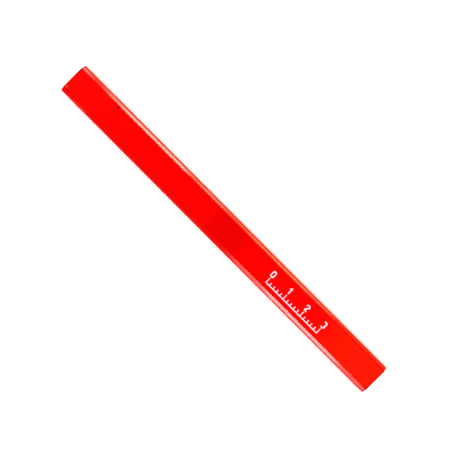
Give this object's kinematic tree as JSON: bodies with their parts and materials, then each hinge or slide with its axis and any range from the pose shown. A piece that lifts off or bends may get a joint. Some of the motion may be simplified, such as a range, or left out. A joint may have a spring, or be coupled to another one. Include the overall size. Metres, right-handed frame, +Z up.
{
  "type": "carpenter pencil",
  "caption": "Flat unsharpened carpenter pencil: a red lacquered wooden casing with faceted edges round a flat graphite lead, and a short printed centimetre scale near one end.",
  "frame": {"origin": "middle of the lower broad flat that the pencil lies on", "axes": "+X along the pencil towards the end with the printed scale, +Y across the broad flats, +Z up through the thickness"},
  "size_m": [0.18, 0.0148, 0.0071],
  "materials": {
    "casing_wood": "matte",
    "graphite": "satin",
    "glue": "satin",
    "primer": "matte",
    "red_lacquer": "gloss",
    "white_ink": "satin"
  },
  "bodies": {
    "root": {"upper_slat": "casing_wood", "lower_slat": "casing_wood", "graphite_lead": "graphite", "lead_bond": "glue", "glue_line_left": "glue", "glue_line_right": "glue", "primer_coat": "primer", "red_lacquer": "red_lacquer", "scale_ticks": "white_ink", "scale_numerals": "white_ink"}
  },
  "joints": []
}
